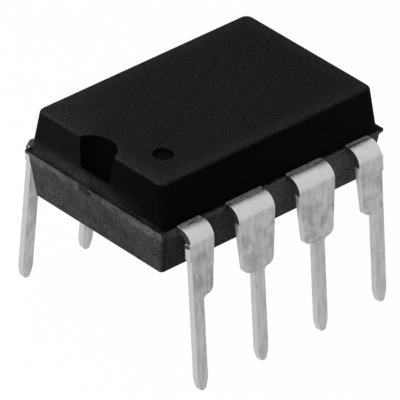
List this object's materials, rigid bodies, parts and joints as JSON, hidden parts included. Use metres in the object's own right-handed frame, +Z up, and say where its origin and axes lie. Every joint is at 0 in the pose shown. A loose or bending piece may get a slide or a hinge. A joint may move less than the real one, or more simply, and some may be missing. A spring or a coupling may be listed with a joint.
{
  "type": "dual in-line integrated circuit package",
  "caption": "Moulded black chip package with two rows of splayed through-hole leads, a half-round end notch and a first-lead dot.",
  "frame": {"origin": "midway between the two rows of leads and the two ends of the body, on the plane that the lead tips stand on", "axes": "+X along the body, away from its notched end; +Y across the body, towards the row that has no dot; +Z up, out of the top face"},
  "size_m": [0.0094, 0.0086, 0.0071],
  "materials": {
    "epoxy_moulding": "fine matt grain from the mould, a little paler below the parting line",
    "tin_plated_lead": "satin matt tin plate over a copper alloy, faintly mottled",
    "copper_frame": "bare copper alloy, sheared at the ends",
    "silver_glue": "dull silver-filled glue",
    "silicon": "polished silicon",
    "gold_wire": "bright drawn wire"
  },
  "bodies": {
    "root": {"moulded_body": "epoxy_moulding", "lead_1": "tin_plated_lead", "lead_2": "tin_plated_lead", "lead_3": "tin_plated_lead", "lead_4": "tin_plated_lead", "lead_5": "tin_plated_lead", "lead_6": "tin_plated_lead", "lead_7": "tin_plated_lead", "lead_8": "tin_plated_lead", "die_pad": "copper_frame", "die_attach": "silver_glue", "die": "silicon", "bond_wire_1": "gold_wire", "bond_wire_2": "gold_wire", "bond_wire_3": "gold_wire", "bond_wire_4": "gold_wire", "bond_wire_5": "gold_wire", "bond_wire_6": "gold_wire", "bond_wire_7": "gold_wire", "bond_wire_8": "gold_wire"}
  },
  "joints": []
}
